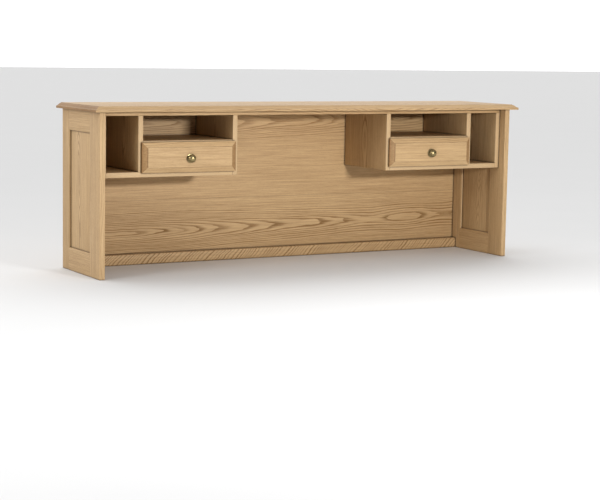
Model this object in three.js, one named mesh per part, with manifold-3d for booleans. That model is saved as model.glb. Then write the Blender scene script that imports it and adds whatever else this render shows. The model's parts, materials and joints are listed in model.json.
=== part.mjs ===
// An oak desk hutch: frame-and-panel ends, a moulded top, a plywood back and two hanging
// cubby units, each with a tall pigeonhole, an open pigeonhole and a drawer on ball-bearing slides.
// Millimetres. +X runs along the width, +Y to the back, +Z up. The origin is at the middle of the
// footprint of the top board, at the height of the surface that the hutch stands on.
import * as THREE from "three";
import { mergeVertices } from "three/addons/utils/BufferGeometryUtils.js";
import Module from "manifold-3d";

const wasm = await Module();
wasm.setup();

// ---- Driving dimensions ----------------------------------------------------------------------
const BODY_WIDTH = 1829; // over the outer faces of the two ends
const BODY_DEPTH = 368; // front of the front stiles to the back of the hutch
const END_HEIGHT = 614; // desk to the underside of the top board
const BOARD = 19; // thickness of the boards of the cubby units
const TOP_THICKNESS = 21;
const SUB_TOP_THICKNESS = 16;
const END_THICKNESS = 21; // of the stiles and rails
const BACK_THICKNESS = 6; // the plywood back

const TOP_OVERHANG_FRONT = 26;
const TOP_OVERHANG_SIDE = 26;
const TOP_MOULDING_WIDTH = 20; // from the lip in to the flat of the top
const TOP_LIP = 8.5; // height of the square lip under the moulding
const TOP_QUIRK = 1.5; // the small step where the moulding meets the flat
const TOP_QUIRK_WIDTH = 1;
const TOP_SWELL = 1.2; // how far the moulding swells above a straight slope near the flat
const TOP_HOLLOW = 0.48; // and how far it dips below one near the lip

const FRONT_STILE = 101;
const REAR_STILE = 69;
const TOP_RAIL = 81;
const BOTTOM_RAIL = 88;
const STICKING_WIDTH = 7; // the moulded inner edge of the frames
const STICKING_LAND = 1.25; // flat left between the moulding and the groove
const END_PANEL_THICKNESS = 6; // also that of the rails' stub tenons
const GROOVE_WIDTH = 6.5;
const GROOVE_DEPTH = 9.5;
const GROOVE_PLAY = 1.5; // room left for a panel or a tenon at the bottom of its groove
const COPE_GAP = 0.2; // between a rail's coped end and the stile
const REBATE_WIDTH = 9.5; // housing for the back in each rear stile
const BACK_PLAY = 0.5; // room round the back in its rebate

const BACK_RAIL_HEIGHT = 41;
const BACK_RAIL_THICKNESS = 28;

const SETBACK = 38; // front of the cubby units behind the front of the ends
const UNIT_HEIGHT = 227.5; // from the sub-top down to the underside of the units
const PIGEONHOLE_WIDTH = 128.5; // the tall space at the outer end of each unit
const DRAWER_OPENING_WIDTH = 372;
const DRAWER_OPENING_HEIGHT = 96.5;

const FRONT_OVERLAY_SIDE = 8; // drawer front past the opening
const FRONT_OVERLAY_TOP = 13.5;
const FRONT_OVERLAY_BOTTOM = 3.5;
const FRONT_THICKNESS = 19;
const FRONT_EDGE = 9; // thickness of the drawer front at its rim
const FRONT_BEVEL = 20; // width of the bevel round the raised field
const FRONT_STEP = 2; // the square step up to the raised field
const FRONT_GAP = 0.5; // between the shut drawer front and the unit

const BOX_BOARD = 12;
const BOX_LIFT = 8; // drawer box over the unit's bottom board
const BOX_HEADROOM = 9; // drawer box under the shelf
const BOX_BACK_CLEARANCE = 24; // drawer box to the back of the hutch
const BOX_BOTTOM_THICKNESS = 6;
const BOX_BOTTOM_LIFT = 10; // underside of the drawer bottom over the box's lower edge
const BOX_GROOVE_DEPTH = 5;
const BOX_GROOVE_PLAY = 0.4;
const TAILS = 3; // dovetails at each corner
const TAIL_SLOPE = 2; // how far each side of a tail flares over its length
const TAIL_NECK = 14; // width of a tail at its root
const TAIL_GAP = 0.2;

const SLIDE_HEIGHT = 45;
const SLIDE_INSET = 4; // front of the slides behind the front of the unit
const SLIDE_BACK_CLEARANCE = 19.5; // slides to the back of the hutch
const SLIDE_SPACE = 12.5; // each side, between the box and the unit
const SLIDE_SHEET = 1.2;
const SLIDE_RUN = 1; // clearance between members, which the bearing balls take up
const SLIDE_SKIN = 0.3; // gap between a slide and the wood that it is screwed to

const KNOB_DIAMETER = 31;
const KNOB_PROJECTION = 25; // from the drawer front to the crown of the knob
const KNOB_NECK_RADIUS = 6.5;
const KNOB_FLARE = 2; // how far the neck spreads at its foot
const KNOB_SHOULDER_RADIUS = 12.4; // where the underside of the head starts
const KNOB_RIM = 15.5; // from the drawer front to the rim of the head
const KNOB_RIM_WIDTH = 2;
const KNOB_UNDERCUT = 3; // height of the underside from the neck to the rim
const KNOB_SEAT_GAP = 0.3; // between the knob and its rose
const ROSE_DIAMETER = 34;
const ROSE_THICKNESS = 2.5;
const ROSE_EDGE = 1; // thickness of the rose at its rim
const ROSE_RING = 2; // width of each ring turned in the rose
const ROSE_BEAD = 2; // height of the outer ring
const ROSE_COVE = 1.5; // height at the bottom of the hollow inside that ring
const KNOB_DROP = 4; // knob under the middle of the drawer front
const KNOB_SCREW_RADIUS = 2;
const SCREW_HOLE_PLAY = 0.4;
const SCREW_BITE = 9; // how deep a screw goes into the piece that it holds
const SCREW_TIP_PLAY = 0.5; // from the tip of the knob's screw to the bottom of its bore
const FIXING_SCREW_RADIUS = 1.8;
const FIXING_SCREW_SPACING = 220;
const SCREW_HEAD_RADIUS = 4.5;
const SCREW_HEAD_HEIGHT = 2.5;
const SCREW_HEAD_EDGE = 1; // height of the head at its rim
const SCREW_CROWN_RADIUS = 2.7; // flat of the head

const CUT_MARGIN = 1; // how far a cutting tool runs past the piece that it cuts
const MOULDING_STEPS = 6;
const DOME_STEPS = 6;
const KNOB_SEGMENTS = 24;
const HOLE_SEGMENTS = 16;

// ---- Places that follow from them ------------------------------------------------------------
const TOP_DEPTH = BODY_DEPTH + TOP_OVERHANG_FRONT;
const BACK_Y = TOP_DEPTH / 2;
const FRONT_Y = BACK_Y - BODY_DEPTH;
const BACK_BOARD_Y = BACK_Y - BACK_PLAY - BACK_THICKNESS; // front face of the plywood back
const UNIT_Y = FRONT_Y + SETBACK;
const INSIDE_X = BODY_WIDTH / 2 - END_THICKNESS; // inner face of an end
const SUB_TOP_Z = END_HEIGHT - SUB_TOP_THICKNESS;
const UNIT_BOTTOM = SUB_TOP_Z - UNIT_HEIGHT;
const UNIT_FLOOR = UNIT_BOTTOM + BOARD;
const SHELF_Z = UNIT_FLOOR + DRAWER_OPENING_HEIGHT; // underside of the shelf over the drawer
const OUTER_PANEL_X = INSIDE_X - BOARD;
const OPENING_FAR_X = OUTER_PANEL_X - PIGEONHOLE_WIDTH - BOARD;
const OPENING_NEAR_X = OPENING_FAR_X - DRAWER_OPENING_WIDTH;
const INNER_PANEL_X = OPENING_NEAR_X - BOARD;
const DRAWER_X = (OPENING_NEAR_X + OPENING_FAR_X) / 2;

// ---- Materials -------------------------------------------------------------------------------
const oak = new THREE.MeshStandardMaterial({ color: 0xc8a477, roughness: 0.5, metalness: 0 });
const plywood = new THREE.MeshStandardMaterial({ color: 0xbd9766, roughness: 0.55, metalness: 0 });
const maple = new THREE.MeshStandardMaterial({ color: 0xdcc59c, roughness: 0.55, metalness: 0 });
const brass = new THREE.MeshStandardMaterial({ color: 0x7d6a3e, roughness: 0.35, metalness: 1 });
const steel = new THREE.MeshStandardMaterial({ color: 0xb9bcc0, roughness: 0.3, metalness: 1 });

const hutch = new THREE.Group();

// ---- Shared shapes ---------------------------------------------------------------------------

// A closed geometry as a manifold-3d solid.
function solidOf(geometry) {
  const bare = geometry.index ? geometry.toNonIndexed() : geometry.clone();
  bare.deleteAttribute("normal");
  bare.deleteAttribute("uv");
  const merged = mergeVertices(bare, 1e-3);
  return new wasm.Manifold(
    new wasm.Mesh({
      numProp: 3,
      vertProperties: merged.attributes.position.array,
      triVerts: new Uint32Array(merged.index.array),
    }),
  );
}

// A manifold-3d solid as a geometry.
function geometryOf(solid) {
  const mesh = solid.getMesh();
  return new THREE.BufferGeometry()
    .setAttribute("position", new THREE.BufferAttribute(new Float32Array(mesh.vertProperties), 3))
    .setIndex(new THREE.BufferAttribute(new Uint32Array(mesh.triVerts), 1));
}

const cut = (geometry, ...tools) =>
  geometryOf(tools.reduce((rest, tool) => rest.subtract(solidOf(tool)), solidOf(geometry)));

const common = (a, b) => geometryOf(solidOf(a).intersect(solidOf(b)));

// A box between two corners. Boxes that meet share the very same coordinate on that face.
function block([x0, x1], [y0, y1], [z0, z1]) {
  const box = new THREE.BoxGeometry();
  const place = box.attributes.position;
  for (let i = 0; i < place.count; i += 1) {
    const [x, y, z] = [place.getX(i), place.getY(i), place.getZ(i)];
    place.setXYZ(i, x < 0 ? x0 : x1, y < 0 ? y0 : y1, z < 0 ? z0 : z1);
  }
  return box;
}

// An outline of [u, v] points, or a Shape, as a prism along an axis from one place to another.
// The outline is in X and Y for axis z, in Y and Z for axis x, and in X and Z for axis y.
function prism(outline, axis, from, to) {
  const shape = outline.isShape
    ? outline
    : new THREE.Shape(outline.map(([u, v]) => new THREE.Vector2(u, v)));
  const solid = new THREE.ExtrudeGeometry(shape, {
    depth: to - from,
    bevelEnabled: false,
    curveSegments: 6,
  });
  solid.translate(0, 0, from);
  const u = new THREE.Vector3(...{ x: [0, 1, 0], y: [1, 0, 0], z: [1, 0, 0] }[axis]);
  const v = new THREE.Vector3(...{ x: [0, 0, 1], y: [0, 0, 1], z: [0, 1, 0] }[axis]);
  const along = new THREE.Vector3(...{ x: [1, 0, 0], y: [0, 1, 0], z: [0, 0, 1] }[axis]);
  solid.applyMatrix4(new THREE.Matrix4().makeBasis(u, v, along));
  if (axis !== "y") return solid;
  const index = solid.index ? solid.toNonIndexed() : solid; // X, Z, Y is left-handed, so turn each face
  const place = index.attributes.position;
  for (let i = 0; i < place.count; i += 3) {
    const [bx, by, bz] = [place.getX(i + 1), place.getY(i + 1), place.getZ(i + 1)];
    place.setXYZ(i + 1, place.getX(i + 2), place.getY(i + 2), place.getZ(i + 2));
    place.setXYZ(i + 2, bx, by, bz);
  }
  return index;
}

// A rod along Y between two places.
function rod(radius, [from, to], x, z) {
  const cylinder = new THREE.CylinderGeometry(radius, radius, to - from, HOLE_SEGMENTS);
  return cylinder.translate(x, (from + to) / 2, z);
}

// A turned piece whose axis points to the front: profile points are [radius, distance from the back].
function turned(profile, x, y, z) {
  const points = profile.map(([r, d]) => new THREE.Vector2(r, -d));
  const lathe = new THREE.LatheGeometry(points.reverse(), KNOB_SEGMENTS);
  return lathe.translate(x, y, z);
}

function add(name, geometry, material) {
  const mesh = new THREE.Mesh(geometry, material);
  mesh.name = name;
  hutch.add(mesh);
  return mesh;
}

// The mirror image of a geometry in the YZ plane, its faces turned back to point out.
function mirrored(geometry) {
  const flipped = geometry.index ? geometry.toNonIndexed() : geometry.clone();
  const place = flipped.attributes.position;
  for (let i = 0; i < place.count; i += 3) {
    const corners = [0, 2, 1].map((k) => [-place.getX(i + k), place.getY(i + k), place.getZ(i + k)]);
    corners.forEach((p, k) => place.setXYZ(i + k, ...p));
  }
  flipped.deleteAttribute("normal");
  return flipped;
}

// Adds a piece of the right half and its mirror image on the left.
function addPair(name, geometry, material) {
  add(`right_${name}`, geometry, material);
  add(`left_${name}`, mirrored(geometry), material);
}

// ---- Top board and sub-top -------------------------------------------------------------------

// Half of the moulded section, from the middle of the board out to its lip at `reach`.
function mouldedEdge(reach, sign) {
  const flat = reach - TOP_MOULDING_WIDTH;
  const top = END_HEIGHT + TOP_THICKNESS;
  const shoulder = top - TOP_QUIRK;
  const lipTop = END_HEIGHT + TOP_LIP;
  const cove = [];
  for (let i = 0; i <= MOULDING_STEPS; i += 1) {
    const share = i / MOULDING_STEPS;
    const swell = Math.sin(Math.PI * share) * (share < 0.5 ? TOP_SWELL : -TOP_HOLLOW);
    cove.push([
      sign * (flat + TOP_QUIRK_WIDTH + (TOP_MOULDING_WIDTH - TOP_QUIRK_WIDTH) * share),
      shoulder + (lipTop - shoulder) * share + swell,
    ]);
  }
  return [[sign * flat, top], ...cove, [sign * reach, END_HEIGHT]];
}

function topBoard() {
  const halfWidth = BODY_WIDTH / 2 + TOP_OVERHANG_SIDE;
  const ends = [...mouldedEdge(halfWidth, -1).reverse(), ...mouldedEdge(halfWidth, 1)];
  const lengthwise = [
    [BACK_Y, END_HEIGHT],
    [BACK_Y, END_HEIGHT + TOP_THICKNESS],
    ...mouldedEdge(TOP_DEPTH / 2, -1),
  ];
  return common(
    prism(ends.reverse(), "y", -TOP_DEPTH / 2, BACK_Y),
    prism(lengthwise, "x", -halfWidth, halfWidth),
  );
}

add("top_board", topBoard(), oak);
add("sub_top", block([-INSIDE_X, INSIDE_X], [UNIT_Y, BACK_BOARD_Y], [SUB_TOP_Z, END_HEIGHT]), oak);

// ---- Ends: stiles, rails and raised panels -----------------------------------------------------

const FRAME_OUT = BODY_WIDTH / 2;
const FRAME_MIDDLE = FRAME_OUT - END_THICKNESS / 2;
const HALF_GROOVE = GROOVE_WIDTH / 2;
const STICKING_DEPTH = END_THICKNESS / 2 - HALF_GROOVE - STICKING_LAND;
const GROOVE_REACH = GROOVE_DEPTH - GROOVE_PLAY; // how far a panel or a tenon goes into its groove

// The section of a frame member across its moulded and grooved edge. `edge` is the place of that
// edge, `way` is +1 if the panel lies beyond it towards larger values, and `far` is the other edge.
function framedSection(edge, far, way) {
  const arris = edge - way * STICKING_WIDTH;
  const bottom = edge - way * GROOVE_DEPTH;
  const [a, b] = [INSIDE_X, FRAME_OUT];
  const eased = (x, side) =>
    [0, 30, 60, 90].map((degrees) => {
      const turn = THREE.MathUtils.degToRad(degrees);
      return [
        x - side * STICKING_DEPTH * (1 - Math.cos(turn)),
        arris + way * STICKING_WIDTH * Math.sin(turn),
      ];
    });
  return [
    [a, far],
    ...eased(a, -1),
    [FRAME_MIDDLE - HALF_GROOVE, edge],
    [FRAME_MIDDLE - HALF_GROOVE, bottom],
    [FRAME_MIDDLE + HALF_GROOVE, bottom],
    [FRAME_MIDDLE + HALF_GROOVE, edge],
    ...eased(b, 1).reverse(),
    [b, far],
  ];
}

const OPEN_FRONT = FRONT_Y + FRONT_STILE;
const OPEN_REAR = BACK_Y - REAR_STILE;
const OPEN_LOW = BOTTOM_RAIL;
const OPEN_HIGH = END_HEIGHT - TOP_RAIL;

function stileBlank(edge, far, way) {
  const section = framedSection(edge, far, way);
  return prism(way > 0 ? section : section.reverse(), "z", 0, END_HEIGHT);
}

// The rear stile is rebated for the back.
function rearStile() {
  const rebate = block(
    [INSIDE_X - CUT_MARGIN, INSIDE_X + REBATE_WIDTH],
    [BACK_BOARD_Y, BACK_Y + CUT_MARGIN],
    [-CUT_MARGIN, END_HEIGHT + CUT_MARGIN],
  );
  return cut(stileBlank(OPEN_REAR, BACK_Y, -1), rebate);
}

// A rail runs between the stiles, coped over their moulded edges, with a stub tenon in each groove.
function rail(edge, far, way) {
  const section = framedSection(edge, far, way);
  const ends = [OPEN_FRONT - GROOVE_REACH, OPEN_REAR + GROOVE_REACH];
  const blank = prism(way > 0 ? section.reverse() : section, "y", ...ends);
  const height = [Math.min(edge, far) - CUT_MARGIN, Math.max(edge, far) + CUT_MARGIN];
  const half = END_PANEL_THICKNESS / 2;
  const besideTenons = [
    [ends[0] - CUT_MARGIN, OPEN_FRONT],
    [OPEN_REAR, ends[1] + CUT_MARGIN],
  ].flatMap((past) => [
    block([FRAME_MIDDLE - HALF_GROOVE - CUT_MARGIN, FRAME_MIDDLE - half], past, height),
    block([FRAME_MIDDLE + half, FRAME_MIDDLE + HALF_GROOVE + CUT_MARGIN], past, height),
  ]);
  const copes = [
    stileBlank(OPEN_FRONT, FRONT_Y, 1).translate(0, COPE_GAP, 0),
    stileBlank(OPEN_REAR, BACK_Y, -1).translate(0, -COPE_GAP, 0),
  ];
  return cut(blank, ...besideTenons, ...copes);
}

// A flat panel that floats in the grooves of its frame.
function endPanel() {
  const half = END_PANEL_THICKNESS / 2;
  return block(
    [FRAME_MIDDLE - half, FRAME_MIDDLE + half],
    [OPEN_FRONT - GROOVE_REACH, OPEN_REAR + GROOVE_REACH],
    [OPEN_LOW - GROOVE_REACH, OPEN_HIGH + GROOVE_REACH],
  );
}

addPair("front_stile", stileBlank(OPEN_FRONT, FRONT_Y, 1), oak);
addPair("rear_stile", rearStile(), oak);
addPair("top_rail", rail(OPEN_HIGH, END_HEIGHT, -1), oak);
addPair("bottom_rail", rail(OPEN_LOW, 0, 1), oak);
addPair("end_panel", endPanel(), oak);

// ---- Back --------------------------------------------------------------------------------------

const BACK_HALF = INSIDE_X + REBATE_WIDTH - BACK_PLAY;
const BACK_Y_SPAN = [BACK_BOARD_Y, BACK_Y - BACK_PLAY];
add("back_panel", block([-BACK_HALF, BACK_HALF], BACK_Y_SPAN, [0, END_HEIGHT]), plywood);
const BACK_RAIL_Y = [BACK_BOARD_Y - BACK_RAIL_THICKNESS, BACK_BOARD_Y];
add("back_rail", block([-INSIDE_X, INSIDE_X], BACK_RAIL_Y, [0, BACK_RAIL_HEIGHT]), oak);

// ---- Cubby units -------------------------------------------------------------------------------

const UNIT_DEPTH = [UNIT_Y, BACK_BOARD_Y];

const FULL_HEIGHT = [UNIT_BOTTOM, SUB_TOP_Z];
const unitBoard = (x, z) => block(x, UNIT_DEPTH, z);

addPair("inner_panel", unitBoard([INNER_PANEL_X, OPENING_NEAR_X], FULL_HEIGHT), oak);
addPair("outer_panel", unitBoard([OUTER_PANEL_X, INSIDE_X], FULL_HEIGHT), oak);
addPair("unit_bottom", unitBoard([OPENING_NEAR_X, OUTER_PANEL_X], [UNIT_BOTTOM, UNIT_FLOOR]), oak);
addPair("divider", unitBoard([OPENING_FAR_X, OPENING_FAR_X + BOARD], [UNIT_FLOOR, SUB_TOP_Z]), oak);
addPair("drawer_shelf", unitBoard([OPENING_NEAR_X, OPENING_FAR_X], [SHELF_Z, SHELF_Z + BOARD]), oak);

// ---- Drawers -----------------------------------------------------------------------------------

const BOX_X = [OPENING_NEAR_X + SLIDE_SPACE, OPENING_FAR_X - SLIDE_SPACE];
const BOX_Y = [UNIT_Y - FRONT_GAP, BACK_BOARD_Y - BOX_BACK_CLEARANCE];
const BOX_Z = [UNIT_FLOOR + BOX_LIFT, SHELF_Z - BOX_HEADROOM];
const FRONT_Z = [UNIT_FLOOR - FRONT_OVERLAY_BOTTOM, SHELF_Z + FRONT_OVERLAY_TOP];
const FRONT_X = [OPENING_NEAR_X - FRONT_OVERLAY_SIDE, OPENING_FAR_X + FRONT_OVERLAY_SIDE];
const KNOB_Z = (FRONT_Z[0] + FRONT_Z[1]) / 2 - KNOB_DROP;
const FIXING_X = [-1, 1].map((side) => DRAWER_X + (side * FIXING_SCREW_SPACING) / 2);

// The drawer front's bevelled section between two edges, seen across the front.
function raisedSection([low, high]) {
  const back = BOX_Y[0];
  return [
    [back, low],
    [back - FRONT_EDGE, low],
    [back - FRONT_THICKNESS + FRONT_STEP, low + FRONT_BEVEL],
    [back - FRONT_THICKNESS, low + FRONT_BEVEL],
    [back - FRONT_THICKNESS, high - FRONT_BEVEL],
    [back - FRONT_THICKNESS + FRONT_STEP, high - FRONT_BEVEL],
    [back - FRONT_EDGE, high],
    [back, high],
  ];
}

// The hole for the knob's screw and the two for the screws that hold the drawer front.
function screwHoles(knobY, fixingY) {
  const fixing = FIXING_SCREW_RADIUS + SCREW_HOLE_PLAY;
  return [
    rod(KNOB_SCREW_RADIUS + SCREW_HOLE_PLAY, knobY, DRAWER_X, KNOB_Z),
    ...FIXING_X.map((x) => rod(fixing, fixingY, x, KNOB_Z)),
  ];
}

function drawerFront() {
  const across = raisedSection(FRONT_X).map(([y, x]) => [x, y]);
  const raised = common(
    prism(across, "z", ...FRONT_Z),
    prism(raisedSection(FRONT_Z).reverse(), "x", ...FRONT_X),
  );
  const pilotY = [BOX_Y[0] - SCREW_BITE - SCREW_HOLE_PLAY, BOX_Y[0] + CUT_MARGIN];
  const throughY = [BOX_Y[0] - FRONT_THICKNESS - CUT_MARGIN, BOX_Y[0] + CUT_MARGIN];
  return cut(raised, ...screwHoles(throughY, pilotY));
}

// The outline of one dovetail in Y and Z: its root is at `root`, and `out` is the way to its end.
// `grown` widens it, which gives the socket of the pins their gap.
function tail(middle, root, out, grown) {
  const neck = TAIL_NECK / 2 + grown;
  const end = neck + TAIL_SLOPE;
  const tip = root + out * (BOX_BOARD + (grown ? 1 : 0));
  const flank = [
    [root - out * grown, middle - neck],
    [tip, middle - end],
    [tip, middle + end],
    [root - out * grown, middle + neck],
  ];
  return out > 0 ? flank : flank.reverse();
}

const TAIL_PITCH = (BOX_Z[1] - BOX_Z[0]) / TAILS;
const TAIL_MIDDLES = Array.from({ length: TAILS }, (_, i) => BOX_Z[0] + TAIL_PITCH * (i + 0.5));
const ROOTS = [
  [BOX_Y[0] + BOX_BOARD, -1],
  [BOX_Y[1] - BOX_BOARD, 1],
];

// A drawer side with its tails, grooved on the inside for the bottom. `x` is its span in X.
function boxSide(x) {
  const body = block(x, [ROOTS[0][0], ROOTS[1][0]], BOX_Z);
  const tails = ROOTS.flatMap(([root, out]) =>
    TAIL_MIDDLES.map((middle) => prism(tail(middle, root, out, 0), "x", ...x)),
  );
  const joined = tails.reduce((whole, t) => whole.add(solidOf(t)), solidOf(body));
  return cut(geometryOf(joined), bottomGroove());
}

// The space for the drawer bottom, past the inner faces of the box by the depth of the groove.
function bottomGroove() {
  const z = BOX_Z[0] + BOX_BOTTOM_LIFT;
  return block(
    [BOX_X[0] + BOX_BOARD - BOX_GROOVE_DEPTH, BOX_X[1] - BOX_BOARD + BOX_GROOVE_DEPTH],
    [BOX_Y[0] + BOX_BOARD - BOX_GROOVE_DEPTH, BOX_Y[1] - BOX_BOARD + BOX_GROOVE_DEPTH],
    [z, z + BOX_BOTTOM_THICKNESS + BOX_GROOVE_PLAY],
  );
}

// The front or back of the box: a full-width board with a socket cut for each tail.
function boxEnd(y, root, out, holes) {
  const sockets = [
    [BOX_X[0] - CUT_MARGIN, BOX_X[0] + BOX_BOARD + TAIL_GAP],
    [BOX_X[1] - BOX_BOARD - TAIL_GAP, BOX_X[1] + CUT_MARGIN],
  ].flatMap((x) => TAIL_MIDDLES.map((middle) => prism(tail(middle, root, out, TAIL_GAP), "x", ...x)));
  return cut(block(BOX_X, y, BOX_Z), ...sockets, bottomGroove(), ...holes);
}

function drawerBottom() {
  const inset = BOX_BOARD - BOX_GROOVE_DEPTH + BOX_GROOVE_PLAY;
  const z = BOX_Z[0] + BOX_BOTTOM_LIFT + BOX_GROOVE_PLAY / 2;
  return block(
    [BOX_X[0] + inset, BOX_X[1] - inset],
    [BOX_Y[0] + inset, BOX_Y[1] - inset],
    [z, z + BOX_BOTTOM_THICKNESS],
  );
}

const BOX_FRONT_Y = [BOX_Y[0], BOX_Y[0] + BOX_BOARD];
const BOX_BACK_Y = [BOX_Y[1] - BOX_BOARD, BOX_Y[1]];
const THROUGH_BOX_FRONT = [BOX_FRONT_Y[0] - CUT_MARGIN, BOX_FRONT_Y[1] + CUT_MARGIN];
const BOX_FRONT_HOLES = screwHoles(THROUGH_BOX_FRONT, THROUGH_BOX_FRONT);

addPair("drawer_front", drawerFront(), oak);
addPair("drawer_box_front", boxEnd(BOX_FRONT_Y, ...ROOTS[0], BOX_FRONT_HOLES), maple);
addPair("drawer_box_back", boxEnd(BOX_BACK_Y, ...ROOTS[1], []), maple);
addPair("drawer_inner_side", boxSide([BOX_X[0], BOX_X[0] + BOX_BOARD]), maple);
addPair("drawer_outer_side", boxSide([BOX_X[1] - BOX_BOARD, BOX_X[1]]), maple);
addPair("drawer_bottom", drawerBottom(), maple);

// ---- Knobs and screws --------------------------------------------------------------------------

const FIELD_Y = BOX_Y[0] - FRONT_THICKNESS;

function knob() {
  const r = KNOB_DIAMETER / 2;
  const hole = KNOB_SCREW_RADIUS + SCREW_HOLE_PLAY;
  const seat = ROSE_THICKNESS + KNOB_SEAT_GAP;
  const domeFoot = KNOB_RIM + KNOB_RIM_WIDTH;
  const dome = [];
  for (let i = 1; i <= DOME_STEPS; i += 1) {
    const turn = (Math.PI / 2) * (i / DOME_STEPS);
    dome.push([r * Math.cos(turn), domeFoot + (KNOB_PROJECTION - domeFoot) * Math.sin(turn)]);
  }
  dome[dome.length - 1][0] = 0;
  return turned(
    [
      [0, seat + SCREW_BITE],
      [hole, seat + SCREW_BITE],
      [hole, seat],
      [KNOB_NECK_RADIUS + KNOB_FLARE, seat],
      [KNOB_NECK_RADIUS, seat + KNOB_FLARE],
      [KNOB_NECK_RADIUS, KNOB_RIM - KNOB_UNDERCUT],
      [KNOB_SHOULDER_RADIUS, KNOB_RIM - KNOB_UNDERCUT / 3],
      [r, KNOB_RIM],
      [r, domeFoot],
      ...dome,
    ],
    DRAWER_X,
    FIELD_Y,
    KNOB_Z,
  );
}

function rose() {
  const r = ROSE_DIAMETER / 2;
  const hole = KNOB_SCREW_RADIUS + SCREW_HOLE_PLAY;
  return turned(
    [
      [hole, 0],
      [r, 0],
      [r, ROSE_EDGE],
      [r - ROSE_RING, ROSE_BEAD],
      [r - 2 * ROSE_RING, ROSE_COVE],
      [r - 3 * ROSE_RING, ROSE_THICKNESS],
      [hole, ROSE_THICKNESS],
      [hole, 0],
    ],
    DRAWER_X,
    FIELD_Y,
    KNOB_Z,
  );
}

// A screw driven towards the front from inside the drawer, with a domed head against the box front.
function screw(radius, tipY, x) {
  const headFrom = BOX_Y[0] + BOX_BOARD;
  const length = headFrom - tipY;
  const profile = [
    [0, -SCREW_HEAD_HEIGHT],
    [SCREW_CROWN_RADIUS, -SCREW_HEAD_HEIGHT],
    [SCREW_HEAD_RADIUS, -SCREW_HEAD_EDGE],
    [SCREW_HEAD_RADIUS, 0],
    [radius, 0],
    [radius, length - radius],
    [0, length],
  ];
  return turned(profile, x, headFrom, KNOB_Z);
}

addPair("knob", knob(), brass);
addPair("knob_rose", rose(), brass);
const KNOB_SCREW_TIP = FIELD_Y - ROSE_THICKNESS - SCREW_BITE + SCREW_TIP_PLAY;
addPair("knob_screw", screw(KNOB_SCREW_RADIUS, KNOB_SCREW_TIP, DRAWER_X), steel);
["inner", "outer"].forEach((side, i) => {
  addPair(`${side}_front_screw`, screw(FIXING_SCREW_RADIUS, BOX_Y[0] - SCREW_BITE, FIXING_X[i]), steel);
});

// ---- Drawer slides: three nested channels on each side of a drawer -------------------------------

const SLIDE_Z = (BOX_Z[0] + BOX_Z[1]) / 2;
const SLIDE_Y = [UNIT_Y + SLIDE_INSET, BACK_BOARD_Y - SLIDE_BACK_CLEARANCE];

// A channel lying on its side: `web` is the place of its outer face, `open` the way its mouth points.
function channel(web, open, depth, height) {
  const inner = web + open * SLIDE_SHEET;
  const lip = web + open * depth;
  const [low, high] = [SLIDE_Z - height / 2, SLIDE_Z + height / 2];
  const outline = [
    [web, low],
    [lip, low],
    [lip, low + SLIDE_SHEET],
    [inner, low + SLIDE_SHEET],
    [inner, high - SLIDE_SHEET],
    [lip, high - SLIDE_SHEET],
    [lip, high],
    [web, high],
  ];
  return prism(open > 0 ? outline.reverse() : outline, "y", ...SLIDE_Y);
}

// Each member is one nest deeper in the last, and the drawer's own faces the other two.
const NEST = SLIDE_SHEET + SLIDE_RUN;
const CABINET_DEPTH = SLIDE_SPACE - 2 * SLIDE_SKIN - NEST;
const NESTED_DEPTH = CABINET_DEPTH - NEST;

// `wall` is the face of the unit beside the drawer, and `way` points from it to the drawer.
function slide(side, wall, way) {
  const cabinetWeb = wall + way * SLIDE_SKIN;
  const middleWeb = cabinetWeb + way * NEST;
  const drawerWeb = wall + way * (SLIDE_SPACE - SLIDE_SKIN);
  const [tall, middling, short] = [0, 2, 4].map((nests) => SLIDE_HEIGHT - nests * NEST);
  addPair(`${side}_cabinet_slide`, channel(cabinetWeb, way, CABINET_DEPTH, tall), steel);
  addPair(`${side}_middle_slide`, channel(middleWeb, way, NESTED_DEPTH, middling), steel);
  addPair(`${side}_drawer_slide`, channel(drawerWeb, -way, NESTED_DEPTH, short), steel);
}

slide("inner", OPENING_NEAR_X, 1);
slide("outer", OPENING_FAR_X, -1);

export default hutch;
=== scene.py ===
"""An oak desk hutch: a moulded top on two framed ends, a plywood back, and a cubby unit with a
drawer, a shelf and pigeonholes at each end, with turned brass knobs and steel drawer slides."""

import json
import math
import random

import bmesh
import bpy
from mathutils import Color, Matrix, Vector


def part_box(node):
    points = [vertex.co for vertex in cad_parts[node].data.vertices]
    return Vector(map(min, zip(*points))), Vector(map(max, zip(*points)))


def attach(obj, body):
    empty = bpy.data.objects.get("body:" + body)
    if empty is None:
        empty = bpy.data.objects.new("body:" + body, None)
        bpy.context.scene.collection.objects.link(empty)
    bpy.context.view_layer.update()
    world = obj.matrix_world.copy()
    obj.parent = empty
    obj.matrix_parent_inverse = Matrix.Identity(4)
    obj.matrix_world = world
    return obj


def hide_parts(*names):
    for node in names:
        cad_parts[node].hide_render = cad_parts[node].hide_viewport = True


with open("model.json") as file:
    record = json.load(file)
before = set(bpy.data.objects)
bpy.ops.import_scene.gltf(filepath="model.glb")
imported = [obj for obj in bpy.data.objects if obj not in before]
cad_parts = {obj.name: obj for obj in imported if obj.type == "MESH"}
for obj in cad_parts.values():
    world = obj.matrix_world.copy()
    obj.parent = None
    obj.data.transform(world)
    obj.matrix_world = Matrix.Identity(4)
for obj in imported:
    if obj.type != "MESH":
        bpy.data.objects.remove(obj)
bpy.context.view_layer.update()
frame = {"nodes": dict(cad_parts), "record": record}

bl_info = {
    "name": "Desk hutch",
    "version": (1, 0, 0),
    "blender": (4, 5, 0),
    "location": "3D View > Sidebar > Hutch",
    "description": "Builds an oak desk hutch with its finishes, light and camera",
    "category": "Add Mesh",
}

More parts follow.
